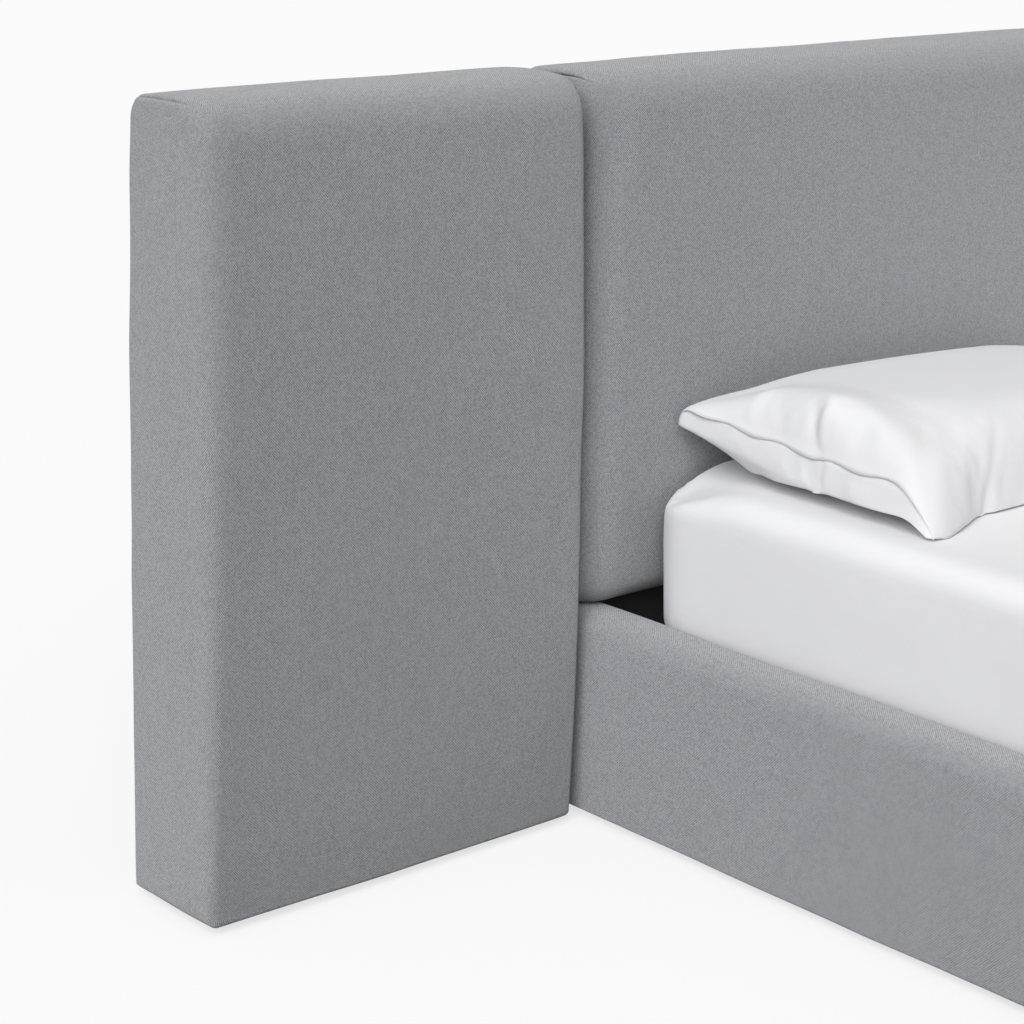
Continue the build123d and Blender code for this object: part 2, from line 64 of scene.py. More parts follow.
# Cloths and finishes, as linear colours, and the pairs of tones that a surface varies between
GREY_YARNS = (0.13, 0.135, 0.15), (0.48, 0.49, 0.515)
WHITE_COTTON = (0.80, 0.80, 0.81)
PILLOW_COTTON = (0.742, 0.742, 0.752)
FILL_COTTON = (0.78, 0.77, 0.75)
# The ticking's two tones are painted shade: the darker one in the hollows of its weave, the paler one on the
# yarns' crowns
TICKING_SHADE_TONES = (0.74, 0.73, 0.70), (0.84, 0.83, 0.80)
PINE_TONES = (0.56, 0.38, 0.20), (0.40, 0.24, 0.11)
BIRCH_TONES = (0.66, 0.50, 0.31), (0.52, 0.36, 0.20)
PLY_TONES = (0.46, 0.31, 0.17), (0.34, 0.21, 0.10)
LINING_TONES = (0.012, 0.012, 0.013), (0.04, 0.04, 0.042)
# The tape's two tones are painted shade: the darker one in the troughs between its ribs and yarns, the paler
# one on their crests
TAPE_SHADE_TONES = (0.02, 0.02, 0.022), (0.06, 0.06, 0.065)
COAT_TONES = (0.018, 0.018, 0.02), (0.035, 0.035, 0.037)
ZINC_TONES = (0.50, 0.50, 0.49), (0.66, 0.66, 0.67)
PLASTIC_TONES = (0.012, 0.012, 0.012), (0.05, 0.05, 0.05)

# Pitches of the weaves, and of the tape's ribs and yarns
YARN_PITCH, COTTON_PITCH, TICKING_PITCH = 2.0 * MM, 0.6 * MM, 1.2 * MM
TAPE_RIB, TAPE_YARN = 3 * MM, 2 * MM

# Grey cloth: how drawn out a yarn's thick places and the streaks are, and each one's share in the tone
SLUB_SCALE, WARP_SLUB_SHARE, WEFT_SLUB_SHARE, WEFT_SLUB_LEVEL = 0.9, 0.07, 0.10, 7.0
STREAK_SHARES = (0.12, 0.012)
# The round share paints shade into the tone: each yarn's crown paler, the hollows between the yarns darker
SLUB_SHARE, FLECK_SHARE, OVER_SHARE, STREAK_SHARE, ROUND_SHADE_SHARE = 0.35, 0.60, 0.75, 0.14, 0.36
DARK_TONE, LIGHT_TONE = 0.49, 1.64

# White cotton's patches, the ticking's quilted waves in radians a metre, and shares of the other surfaces
COTTON_DARK_SHARE, COTTON_PALE_SHARE = 0.97, 1.02
QUILT_TURN = 90.0
GRAIN_SHARE, FIBRES_PER_RING = 0.06, 9
RING_SHARE, FIBRE_SHARE, WANDER_SHARE = 0.7, 0.35, 0.25
FELT_SHARE, BLOTCH_SHARE = 0.7, 0.3
BRUSH_STRETCH = (1.0, 1.0, 12.0)


def make_camera():
    """Camera at the photograph's viewing angle."""
    data = bpy.data.cameras.new("camera")
    data.sensor_width = CAMERA_SENSOR
    data.lens = CAMERA_LENS
    data.shift_y = CAMERA_SHIFT
    data.clip_end = CAMERA_REACH
    camera = bpy.data.objects.new("camera", data)
    bpy.context.scene.collection.objects.link(camera)
    right = Vector((math.cos(CAMERA_YAW), -math.sin(CAMERA_YAW), 0))
    level = Vector((math.sin(CAMERA_YAW), math.cos(CAMERA_YAW), 0))
    forward = level * math.cos(CAMERA_PITCH) - Vector((0, 0, 1)) * math.sin(CAMERA_PITCH)
    up = right.cross(forward)
    tilted = right * math.cos(CAMERA_ROLL) + up * math.sin(CAMERA_ROLL)
    turned = Matrix((tilted, tilted.cross(forward), -forward)).transposed()
    camera.matrix_world = Matrix.Translation(CAMERA_PLACE) @ turned.to_4x4()
    bpy.context.scene.camera = camera


class Shader:
    """Nodes of a material, or of the world, and short ways to add and join them."""

    def __init__(self, name, world=False):
        self.owner = (bpy.data.worlds if world else bpy.data.materials).new(name)
        self.owner.use_nodes = True
        self.tree = self.owner.node_tree
        self.surface = self.tree.nodes["Background" if world else "Principled BSDF"]

    def node(self, kind, inputs=(), **settings):
        made = self.tree.nodes.new(kind)
        for key, value in settings.items():
            setattr(made, key, value)
        for key, value in dict(inputs).items():
            self.put(made.inputs[key], value)
        return made

    def put(self, socket, value):
        if isinstance(value, bpy.types.NodeSocket):
            self.tree.links.new(value, socket)
        else:
            socket.default_value = value

    def put_color(self, socket, value):
        self.put(socket, (*value, 1) if isinstance(value, tuple) else value)

    def math(self, operation, *values):
        made = self.node("ShaderNodeMath", operation=operation)
        for socket, value in zip(made.inputs, values):
            self.put(socket, value)
        return made.outputs[0]

    def scaled(self, value, factor):
        return self.math("MULTIPLY", value, factor)

    def total(self, *terms):
        """Sum of values, each times its share."""
        parts = [self.scaled(value, share) for share, value in terms]
        result = parts[0]
        for part in parts[1:]:
            result = self.math("ADD", result, part)
        return result

    def either(self, share, first, second):
        """The first value where the share is 1, and the second where it is 0."""
        other = self.math("SUBTRACT", 1.0, share)
        return self.math("ADD", self.scaled(share, first), self.scaled(other, second))

    def mix(self, factor, first, second):
        made = self.node("ShaderNodeMix", data_type="RGBA")
        self.put(made.inputs["Factor"], factor)
        self.put_color(made.inputs["A"], first)
        self.put_color(made.inputs["B"], second)
        return made.outputs["Result"]

    def vector(self, x, y, z=0.0):
        return self.node("ShaderNodeCombineXYZ", {"X": x, "Y": y, "Z": z}).outputs[0]

    def parts(self, vector):
        return self.node("ShaderNodeSeparateXYZ", {"Vector": vector}).outputs

    def noise(self, vector, scale, detail=2.0, roughness=0.5):
        inputs = {"Vector": vector, "Scale": scale, "Detail": detail, "Roughness": roughness}
        return self.node("ShaderNodeTexNoise", inputs).outputs[0]

    def place(self):
        return self.node("ShaderNodeTexCoord").outputs["Object"]

    def stretched_place(self, scale):
        return self.node("ShaderNodeMapping", {"Vector": self.place(), "Scale": scale}).outputs[0]

    def cloth_place(self):
        return self.node("ShaderNodeUVMap", uv_map="cloth").outputs["UV"]

    def span(self, value, low, high, out_low=0.0, out_high=1.0):
        inputs = {"Value": value, "From Min": low, "From Max": high, "To Min": out_low, "To Max": out_high}
        return self.node("ShaderNodeMapRange", inputs).outputs[0]

    def bump(self, height, distance, strength=1.0, over=None):
        made = self.node("ShaderNodeBump", {"Height": height, "Distance": distance, "Strength": strength})
        if over is not None:
            self.put(made.inputs["Normal"], over)
        return made.outputs[0]

    def shown(self):
        """1 for what is seen straight, in gloss or through glass, and 0 for what only lights the bed."""
        rays = self.node("ShaderNodeLightPath").outputs
        seen = self.math("MAXIMUM", rays["Is Camera Ray"], rays["Is Glossy Ray"])
        return self.math("MAXIMUM", seen, rays["Is Transmission Ray"])


def set_surface(shader, color, roughness, normal=None, **others):
    """Join the colour, roughness and normal to the shader, and set its plain values."""
    inputs = shader.surface.inputs
    shader.put_color(inputs["Base Color"], color)
    shader.put(inputs["Roughness"], roughness)
    if normal is not None:
        shader.put(inputs["Normal"], normal)
    for key, value in others.items():
        shader.put(inputs[key.replace("_", " ")], value)
    return shader.owner


def woven(shader, pitch):
    """Height of a plain weave, which yarn is on top, and the cloth's two coordinates in yarns."""
    across, along, _ = shader.parts(shader.cloth_place())
    warp, weft = shader.math("DIVIDE", across, pitch), shader.math("DIVIDE", along, pitch)
    cell = shader.math("ADD", shader.math("FLOOR", warp), shader.math("FLOOR", weft))
    over = shader.math("PINGPONG", cell, 1.0)
    shares = [shader.math("FRACT", yarn) for yarn in (warp, weft)]
    rounds = [shader.math("SINE", shader.scaled(share, math.pi)) for share in shares]
    return shader.either(over, *rounds), over, warp, weft


def grey_cloth():
    """Heathered grey upholstery cloth, of lighter and darker yarns, with painted shade in the hollows between
    the yarns.
    """
    shader = Shader("upholstery_cloth")
    height, over, warp, weft = woven(shader, YARN_PITCH)
    places = (shader.vector(warp, shader.scaled(weft, WARP_SLUB_SHARE)),
              shader.vector(shader.scaled(warp, WEFT_SLUB_SHARE), weft, WEFT_SLUB_LEVEL))
    slub = shader.either(over, *(shader.noise(place, SLUB_SCALE, detail=1.0) for place in places))
    cell = shader.vector(shader.math("FLOOR", warp), shader.math("FLOOR", weft))
    fleck = shader.node("ShaderNodeTexWhiteNoise", {"Vector": cell}, noise_dimensions="2D").outputs[0]
    streaks = [shader.scaled(yarn, share) for yarn, share in zip((warp, weft), STREAK_SHARES)]
    streak = shader.noise(shader.vector(*streaks), scale=1.0, detail=3.0)
    # The round term is painted shade from the weave's height: yarn crowns paler, hollows between the yarns
    # darker
    tone = shader.total((SLUB_SHARE, slub), (FLECK_SHARE, fleck), (OVER_SHARE, over), (STREAK_SHARE, streak),
                        (ROUND_SHADE_SHARE, height))
    color = shader.mix(shader.span(tone, DARK_TONE, LIGHT_TONE), *GREY_YARNS)
    nap = shader.bump(shader.noise(shader.place(), scale=900.0), distance=0.3 * MM, strength=0.4)
    normal = shader.bump(height, distance=0.8 * MM, strength=0.8, over=nap)
    return set_surface(shader, color, 0.92, normal, Sheen_Weight=0.35, Sheen_Roughness=0.45)


def white_cotton(name, tone, crease):
    """Smooth white cotton with a fine weave and soft shallow creases."""
    shader = Shader(name)
    height = woven(shader, COTTON_PITCH)[0]
    place = shader.place()
    folds = shader.bump(shader.noise(place, scale=9.0, detail=4.0, roughness=0.6), distance=crease)
    normal = shader.bump(height, distance=0.12 * MM, strength=0.5, over=folds)
    darker = tuple(c * COTTON_DARK_SHARE for c in tone)
    paler = tuple(min(1.0, c * COTTON_PALE_SHARE) for c in tone)
    color = shader.mix(shader.noise(place, scale=3.0), darker, paler)
    return set_surface(shader, color, 0.88, normal, Sheen_Weight=0.12, Sheen_Roughness=0.5)


def ticking():
    """Knitted mattress ticking with a small quilted figure."""
    shader = Shader("ticking_cloth")
    height = woven(shader, TICKING_PITCH)[0]
    across, along, _ = shader.parts(shader.cloth_place())
    waves = [shader.math("SINE", shader.scaled(way, QUILT_TURN)) for way in (across, along)]
    quilt = shader.bump(shader.math("MULTIPLY", *waves), distance=1.5 * MM, strength=0.5)
    normal = shader.bump(height, distance=0.3 * MM, strength=0.5, over=quilt)
    # The ticking's colour follows the weave's height: painted shade, darker in the hollows between the yarns
    return set_surface(shader, shader.mix(height, *TICKING_SHADE_TONES), 0.9, normal, Sheen_Weight=0.15)


def timber(name, tones, grain_axis, ring=38.0, roughness=0.6):
    """Planed timber with its grain along one axis."""
    shader = Shader(name)
    place = shader.stretched_place(tuple(GRAIN_SHARE if axis == grain_axis else 1.0 for axis in range(3)))
    wander = shader.noise(place, scale=6.0, detail=4.0, roughness=0.6)
    rings = shader.noise(place, scale=ring, detail=6.0, roughness=0.62)
    fibre = shader.noise(place, scale=ring * FIBRES_PER_RING, detail=3.0, roughness=0.7)
    tone = shader.total((RING_SHARE, rings), (FIBRE_SHARE, fibre), (WANDER_SHARE, wander))
    color = shader.mix(shader.span(tone, low=0.45, high=0.85), *tones)
    dullness = shader.span(rings, low=0.3, high=0.7, out_low=roughness - 0.08, out_high=roughness + 0.1)
    return set_surface(shader, color, dullness, shader.bump(fibre, distance=0.4 * MM, strength=0.5))


def lining():
    """Black non-woven lining, with the faint fibres of a felted sheet."""
    shader = Shader("lining_cloth")
    place = shader.place()
    fibres = shader.noise(place, scale=420.0, detail=4.0, roughness=0.75)
    blotch = shader.noise(place, scale=12.0, detail=3.0)
    tone = shader.total((FELT_SHARE, fibres), (BLOTCH_SHARE, blotch))
    color = shader.mix(shader.span(tone, low=0.3, high=0.7), *LINING_TONES)
    normal = shader.bump(fibres, distance=0.4 * MM, strength=0.6)
    return set_surface(shader, color, 0.95, normal, Sheen_Weight=0.1)


def webbing_tape():
    """Woven tape with ribs across it."""
    shader = Shader("webbing_tape")
    x, y, _ = shader.parts(shader.place())
    rib = shader.math("SINE", shader.scaled(y, 2 * math.pi / TAPE_RIB))
    yarn = shader.math("SINE", shader.scaled(x, 2 * math.pi / TAPE_YARN))
    height = shader.scaled(shader.math("ADD", rib, shader.scaled(yarn, 0.5)), 0.5)
    # The tape's colour follows its rib and yarn height: painted shade, darker in the troughs
    color = shader.mix(shader.span(height, low=-0.7, high=0.7), *TAPE_SHADE_TONES)
    return set_surface(shader, color, 0.85, shader.bump(height, distance=0.5 * MM, strength=0.7))


def coated_steel():
    """Black powder coat, with its fine orange peel."""
    shader = Shader("coated_steel")
    place = shader.place()
    peel = shader.bump(shader.noise(place, scale=700.0), distance=0.15 * MM, strength=0.5)
    dust = shader.noise(place, scale=25.0, detail=4.0, roughness=0.6)
    color = shader.mix(shader.span(dust, low=0.35, high=0.7), *COAT_TONES)
    dullness = shader.span(dust, low=0.3, high=0.7, out_low=0.42, out_high=0.56)
    return set_surface(shader, color, dullness, peel, Specular_IOR_Level=0.5)


def plated_steel():
    """Zinc-plated bolts, lightly brushed and with dulled patches."""
    shader = Shader("plated_steel")
    brush = shader.noise(shader.stretched_place(BRUSH_STRETCH), scale=300.0, detail=3.0, roughness=0.7)
    patch = shader.noise(shader.place(), scale=90.0, detail=3.0)
    dullness = shader.span(patch, low=0.3, high=0.7, out_low=0.26, out_high=0.44)
    normal = shader.bump(brush, distance=0.05 * MM, strength=0.5)
    return set_surface(shader, shader.mix(patch, *ZINC_TONES), dullness, normal, Metallic=1.0)


def moulded_plastic():
    """Black moulded plastic with a fine matt grain and scuffs."""
    shader = Shader("moulded_plastic")
    place = shader.place()
    grain = shader.bump(shader.noise(place, scale=1500.0), distance=0.08 * MM, strength=0.5)
    scuff = shader.noise(place, scale=60.0, detail=5.0, roughness=0.7)
    color = shader.mix(shader.span(scuff, low=0.45, high=0.8), *PLASTIC_TONES)
    dullness = shader.span(scuff, low=0.3, high=0.8, out_low=0.45, out_high=0.65)
    return set_surface(shader, color, dullness, grain)


def make_studio():
    """Pale floor that keeps the bed's shadow, a soft sky all round and one broad soft light."""
    sky = Shader("studio", world=True)
    sky.put_color(sky.surface.inputs["Color"], (1, 1, 1))
    level = sky.span(sky.shown(), low=0.0, high=1.0, out_low=WORLD_LIGHT, out_high=BACKDROP_WHITE)
    sky.put(sky.surface.inputs["Strength"], level)
    bpy.context.scene.world = sky.owner

    sun = bpy.data.lights.new("broad_light", "SUN")
    sun.energy = SUN_LIGHT
    sun.angle = SUN_SPREAD
    lamp = bpy.data.objects.new("broad_light", sun)
    lamp.rotation_euler = Vector(SUN_FROM).to_track_quat("Z", "Y").to_euler()
    bpy.context.scene.collection.objects.link(lamp)

    half = FLOOR_SIZE / 2
    outline = [(-half, -half, 0), (half, -half, 0), (half, half, 0), (-half, half, 0)]
    floor = new_object("floor", outline, [(0, 1, 2, 3)])
    shader = Shader("floor_paint")
    shown = shader.shown()
    color = shader.mix(shown, (FLOOR_TONE,) * 3, (FLOOR_SHOWN_TONE,) * 3)
    shader.put_color(shader.surface.inputs["Emission Color"], (1, 1, 1))
    shader.put(shader.surface.inputs["Emission Strength"], shader.scaled(shown, FLOOR_LIFT))
    floor.data.materials.append(set_surface(shader, color, 1.0, Specular_IOR_Level=0.0))


# How the lines of a padded block crowd towards its edges, as shares of the rounded margin
MARGIN_SHARES = (0.0, 0.02, 0.05, 0.10, 0.18, 0.29, 0.43, 0.60, 0.80, 1.0)


def cut_lines(low, high, margin, step):
    """Places of the grid lines along each axis: close together near both ends, evenly spaced between."""
    lines = []
    for start, stop in zip(low, high):
        near = [start + share * margin for share in MARGIN_SHARES]
        far = [stop - share * margin for share in reversed(MARGIN_SHARES)]
        count = max(1, round((far[0] - near[-1]) / step))
        lines.append(np.array([*near, *np.linspace(near[-1], far[0], count + 1)[1:-1], *far]))
    return lines


def box_grid(lines):
    """Points and four-sided faces of a box's surface, with the side that each face belongs to."""
    counts = [len(line) for line in lines]
    index, points, faces, sides = {}, [], [], []

    def corner(*place):
        if place not in index:
            index[place] = len(points)
            points.append([line[number] for line, number in zip(lines, place)])
        return index[place]

    for axis in range(3):
        first, second = [count for other, count in enumerate(counts) if other != axis]
        for end in (0, counts[axis] - 1):
            side = ("-" if end == 0 else "+") + "xyz"[axis]
            outward = (end != 0) == (axis != 1)
            for i in range(first - 1):
                for j in range(second - 1):
                    ring = []
                    for spot in ([i, j], [i + 1, j], [i + 1, j + 1], [i, j + 1]):
                        spot.insert(axis, end)
                        ring.append(corner(*spot))
                    faces.append(ring if outward else ring[::-1])
                    sides.append(side)
    return np.array(points), faces, sides


def rounded(a, b, radius):
    """Distance to where two sides meet in a rounded edge. Distances are negative inside."""
    past = np.hypot(np.maximum(a + radius, 0), np.maximum(b + radius, 0))
    return np.minimum(np.maximum(a, b), -radius) + past


def smooth(value, low, high):
    """A share that rises softly from 0 at low to 1 at high."""
    share = np.clip((value - low) / (high - low), 0, 1)
    return share * share * (3 - 2 * share)


WRAP_REACH, WRAP_STEPS = 1.5, 34


def wrap(points, low, high, margin, field):
    """Move the points of a box onto the surface where the field is zero, outwards from the box's core."""
    core = np.clip(points, low + margin, high - margin)
    way = points - core
    near, far = np.zeros(len(points)), np.full(len(points), WRAP_REACH)
    for _ in range(WRAP_STEPS):
        middle = (near + far) / 2
        outside = field(core + way * middle[:, None]) > 0
        far = np.where(outside, middle, far)
        near = np.where(outside, near, middle)
    return core + way * ((near + far) / 2)[:, None]


def unrolled(side, point, low, high, front):
    """Cloth coordinates of a point of the box, unrolled from the front side, in metres."""
    across, deep = (0, 1) if front == "y" else (1, 0)
    depth = point[deep] - low[deep]
    if side[1] == front:
        return point[across], point[2]
    if side[1] == "z":
        return point[across], high[2] + depth if side == "+z" else low[2] - depth
    return low[across] - depth if side[0] == "-" else high[across] + depth, point[2]


def unrolled_cloth(box, faces, sides, low, high, front):
    """Cloth coordinates of each corner of the box's faces."""
    return [unrolled(side, box[corner], low, high, front)
            for face, side in zip(faces, sides) for corner in face]


def node_box(node):
    """Low and high corners of a node's box."""
    return [np.array(corner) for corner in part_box(node)]


def new_object(name, points, faces):
    """An object from points and faces."""
    mesh = bpy.data.meshes.new(name)
    mesh.from_pydata([tuple(point) for point in points], [], faces)
    made = bpy.data.objects.new(name, mesh)
    bpy.context.scene.collection.objects.link(made)
    return made


def new_piece(name, points, faces, material, cloth):
    """A smooth object with its material and cloth coordinates."""
    piece = new_object(name, points, faces)
    mesh = piece.data
    mesh.polygons.foreach_set("use_smooth", [True] * len(mesh.polygons))
    mesh.uv_layers.new(name="cloth").data.foreach_set("uv", np.array(cloth, float).ravel())
    mesh.materials.append(material)
    mesh.validate()
    return piece


WAVES, WAVE_LENGTH_SHARES, WAVE_TURN = 9, (0.6, 1.7), 6.28


def unevenness(points, length, depth, seed):
    """Soft random swell over the points, from a few crossed waves."""
    draw = np.random.default_rng(seed)
    total = np.zeros(len(points))
    for _ in range(WAVES):
        way = draw.normal(size=3)
        way /= np.linalg.norm(way)
        wave = length * draw.uniform(*WAVE_LENGTH_SHARES)
        total += np.sin(points @ way * 2 * math.pi / wave + draw.uniform(0, WAVE_TURN))
    return total / math.sqrt(WAVES) * depth


def outward_ways(points, faces):
    """The normal at each point."""
    quads = np.array(faces)
    across = np.cross(points[quads[:, 2]] - points[quads[:, 0]], points[quads[:, 3]] - points[quads[:, 1]])
    normals = np.zeros_like(points)
    for column in range(4):
        np.add.at(normals, quads[:, column], across)
    return normals / np.maximum(np.linalg.norm(normals, axis=1), NO_LENGTH)[:, None]


def push(points, faces, amount):
    """Move the points along their normals by an amount each."""
    return points + outward_ways(points, faces) * amount[:, None]


SEAM_DEPTH, SEAM_WIDTH, SEAM_LIP = 6 * MM, 1.7 * MM, 0.7 * MM
LIP_PLACE, LIP_WIDTH = 4 * SEAM_WIDTH, 3 * SEAM_WIDTH
SEAM_FADE_SHARE, RECESS_LIP = 0.12, 0.4 * MM
LONG_SWELL, SHORT_SWELL, SHORT_SWELL_SHARE = 340 * MM, 110 * MM, 0.35


def padded_piece(name, low, high, margin, step, field, front, seams, swell, seed, recess=({}, 0.0)):
    """Padded block of cloth over foam, with sunken seams along some of its edges."""
    lines = cut_lines(low, high, margin, step)
    spans, recess_floor = recess
    for axis, (start, stop) in spans.items():
        lines[axis] = np.unique([*lines[axis], start - RECESS_LIP, start, stop, stop + RECESS_LIP])
    box, faces, sides = box_grid(lines)
    points = wrap(box, low, high, margin, field)
    amount = (unevenness(box, LONG_SWELL, swell, seed)
              + unevenness(box, SHORT_SWELL, swell * SHORT_SWELL_SHARE, seed + 1))
    for seam in seams:
        distance = seam(box)
        amount -= SEAM_DEPTH * np.exp(-(distance / SEAM_WIDTH) ** 2)
        amount += SEAM_LIP * np.exp(-((distance - LIP_PLACE) / LIP_WIDTH) ** 2)
    points = push(points, faces, amount)
    if spans:
        inside = np.abs(box[:, 1] - high[1]) < TOUCHING
        for axis, (start, stop) in spans.items():
            inside &= (box[:, axis] > start - RECESS_LIP / 2) & (box[:, axis] < stop + RECESS_LIP / 2)
        points[inside] = box[inside]
        points[inside, 1] = recess_floor
    cloth = unrolled_cloth(box, faces, sides, low, high, front)
    piece = new_piece(name, points, faces, materials["grey"], cloth)
    return piece


def edge_seam(x, high_z, low_y, high_y):
    """Distance from the seam that runs along one end of a panel's top edge, and dies out past its ends."""
    def distance(box):
        across = np.hypot(box[:, 0] - x, box[:, 2] - high_z)
        beyond = np.maximum(low_y - box[:, 1], 0) + np.maximum(box[:, 1] - high_y, 0)
        return across + beyond * SEAM_FADE_SHARE
    return distance


HEAD_MARGIN, HEAD_STEP, HEAD_SWELL = 60 * MM, 18 * MM, 0.7 * MM
FRONT_SIDE_SAG, FRONT_TOP_SAG, END_SAG = 5 * MM, 9 * MM, 3 * MM
TOP_END_FALL, TOP_FRONT_FALL, TOP_BACK_FALL = 3 * MM, 12 * MM, 8 * MM
PANEL_TOP_RADIUS, PANEL_BACK_RADIUS = 45 * MM, 30 * MM
HEADBOARD_BOTTOM_RADIUS, WING_BOTTOM_RADIUS = 38 * MM, 6 * MM
END_TOP_RADIUS, TURNED_EDGE_RADIUS = 12 * MM, 8 * MM
SEAM_START, SEAM_STOP = 84 * MM, 24 * MM

# Where the radii blend into one another: metres inside the front and the back, and shares of the half height
FRONT_BLEND, BACK_BLEND, HEIGHT_BLEND, DRAW_BLEND = (-0.075, -0.015), (-0.06, 0.0), (-0.9, 0.9), (0.0, 1.05)

# Ends of the panels: radius of the upright front edge low down and at the top, and how far the top draws in
OUTER_END, INNER_END = (13 * MM, 32 * MM, 2 * MM), (9 * MM, 14 * MM, 10 * MM)
HEADBOARD_END = (58 * MM, 58 * MM, 12 * MM)
BACK_SETBACK = 1 * MM


def panel_field(low, high, bottom_radius, left_end, right_end):
    """Field of an upholstered panel: crowned front, softly rounded top, and ends that draw in up there."""
    middle, half = (low + high) / 2, (high - low) / 2

    def field(p):
        s, q, t = ((p - middle) / half).T
        front_sag = FRONT_SIDE_SAG * s ** 2 + FRONT_TOP_SAG * np.abs(t) ** 4
        near_low, near_high, draw = (np.where(s < 0, *pair) for pair in zip(left_end, right_end))
        end_sag = END_SAG * (np.abs(q) ** 2.5 + np.abs(t) ** 5) + draw * smooth(t, *DRAW_BLEND) ** 1.6
        top_sag = TOP_END_FALL * np.abs(s) ** 4 + np.where(q < 0, TOP_FRONT_FALL, TOP_BACK_FALL) * q ** 2
        front = low[1] + front_sag - p[:, 1]
        back = p[:, 1] - (high[1] - BACK_SETBACK)
        top = p[:, 2] - (high[2] - top_sag)
        bottom = low[2] - p[:, 2]
        end = np.abs(p[:, 0] - middle[0]) - (half[0] - end_sag)
        body = rounded(front, top, PANEL_TOP_RADIUS)
        body = rounded(body, back, PANEL_BACK_RADIUS)
        body = rounded(body, bottom, bottom_radius)
        front_radius = near_low + (near_high - near_low) * smooth(t, *HEIGHT_BLEND)
        radius = END_TOP_RADIUS + (front_radius - END_TOP_RADIUS) * smooth(front, *FRONT_BLEND)
        radius = radius + (TURNED_EDGE_RADIUS - radius) * smooth(back, *BACK_BLEND)
        return rounded(body, end, radius)
    return field


def back_recess(panel):
    """Hollow in a panel's back, for its timber and back panel: its spans along x and z, and its floor."""
    low, high = node_box(f"{panel}_face_board")
    return {axis: (low[axis], high[axis]) for axis in (0, 2)}, low[1]


def make_panel(panel, bottom_radius, left_end, right_end, seed):
    """One upholstered panel of the head, which stands for its cover and its foam."""
    low, high = node_box(f"{panel}_cover")
    seams = [edge_seam(x, high[2], low[1] + SEAM_START, high[1] - SEAM_STOP) for x in (low[0], high[0])]
    field = panel_field(low, high, bottom_radius, left_end, right_end)
    piece = padded_piece(f"{panel}_upholstery", low, high, HEAD_MARGIN, HEAD_STEP, field, "y", seams,
                         HEAD_SWELL, seed, back_recess(panel))
    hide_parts(f"{panel}_cover", f"{panel}_foam")
    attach(piece, "frame")


RAIL_OUTER_RADIUS, RAIL_INNER_RADIUS, RAIL_BOTTOM_RADIUS, RAIL_END_RADIUS = 34 * MM, 14 * MM, 6 * MM, 5 * MM
SIDE_RAIL_MARGIN, FOOT_RAIL_MARGIN, RAIL_STEP, RAIL_SWELL = 33 * MM, 34 * MM, 25 * MM, 0.6 * MM
SIDE_RAIL_SEED, FOOT_RAIL_SEED = 20, 25
RAIL_BOW = 3 * MM
RAIL_EDGE_BLEND = (-0.05, -0.01)
FOOT_CORNER_RADIUS = 34 * MM


def side_rail_field(low, high, side):
    """Field of a side rail: a full face, with the rounder edge outside."""
    middle, half = (low + high) / 2, (high - low) / 2
    near, far = sorted((side * low[0], side * high[0]))

    def field(p):
        t = (p[:, 2] - middle[2]) / half[2]
        outer = side * p[:, 0] - (far - RAIL_BOW * t ** 2)
        inner = near - side * p[:, 0]
        top = p[:, 2] - high[2]
        bottom = low[2] - p[:, 2]
        end = np.maximum(low[1] - p[:, 1], p[:, 1] - high[1])
        body = rounded(rounded(outer, top, RAIL_OUTER_RADIUS), inner, RAIL_INNER_RADIUS)
        body = rounded(body, bottom, RAIL_BOTTOM_RADIUS)
        return rounded(body, end, RAIL_END_RADIUS)
    return field


def foot_rail_field(low, high):
    """Field of the foot rail, which wraps round both corners."""
    middle, half = (low + high) / 2, (high - low) / 2

    def field(p):
        t = (p[:, 2] - middle[2]) / half[2]
        outer = (low[1] + RAIL_BOW * t ** 2) - p[:, 1]
        inner = p[:, 1] - high[1]
        top = p[:, 2] - high[2]
        bottom = low[2] - p[:, 2]
        end = np.abs(p[:, 0] - middle[0]) - half[0]
        plan = rounded(rounded(outer, end, FOOT_CORNER_RADIUS), inner, RAIL_END_RADIUS)
        edge = np.where(p[:, 1] < middle[1], RAIL_OUTER_RADIUS, RAIL_INNER_RADIUS)
        near_outer = smooth(outer, *RAIL_EDGE_BLEND)
        radius = RAIL_INNER_RADIUS + (RAIL_OUTER_RADIUS - RAIL_INNER_RADIUS) * near_outer
        return rounded(rounded(plan, top, np.minimum(radius, edge)), bottom, RAIL_BOTTOM_RADIUS)
    return field


def make_rail(name, field, margin, front, seed):
    """One padded rail, which stands for its cover and its foam."""
    low, high = node_box(f"{name}_cover")
    piece = padded_piece(f"{name}_upholstery", low, high, margin, RAIL_STEP, field(low, high), front, [],
                         RAIL_SWELL, seed)
    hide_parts(f"{name}_cover", f"{name}_foam")
    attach(piece, "frame")


def make_rails():
    """The three padded rails."""
    for side, word in ((-1, "left"), (1, "right")):
        make_rail(f"side_rail_{word}", lambda low, high: side_rail_field(low, high, side),
                  SIDE_RAIL_MARGIN, "x", SIDE_RAIL_SEED + side)
    make_rail("foot_rail", foot_rail_field, FOOT_RAIL_MARGIN, "y", FOOT_RAIL_SEED)


MATTRESS_MARGIN, CORE_STEP, SHEET_STEP = 70 * MM, 50 * MM, 20 * MM
MATTRESS_CORNER, MATTRESS_TOP, MATTRESS_BOTTOM = 82 * MM, 40 * MM, 66 * MM
SHOULDER_EDGE, SHOULDER_REACH, SHOULDER_FROM_SHARE = 9 * MM, 150 * MM, 0.2
MATTRESS_BOW, MATTRESS_LEAN, LEAN_BLEND = 2 * MM, 4 * MM, (-0.5, 1.0)
MATTRESS_CROWN, MATTRESS_DROOP, DROOP_REACH = 1.5 * MM, 64 * MM, 190 * MM
CORE_INSET = 4.5 * MM
SHEET_TUCK, SHEET_CLOTH, SHEET_EASE = 120 * MM, 1.2 * MM, 1.2 * MM

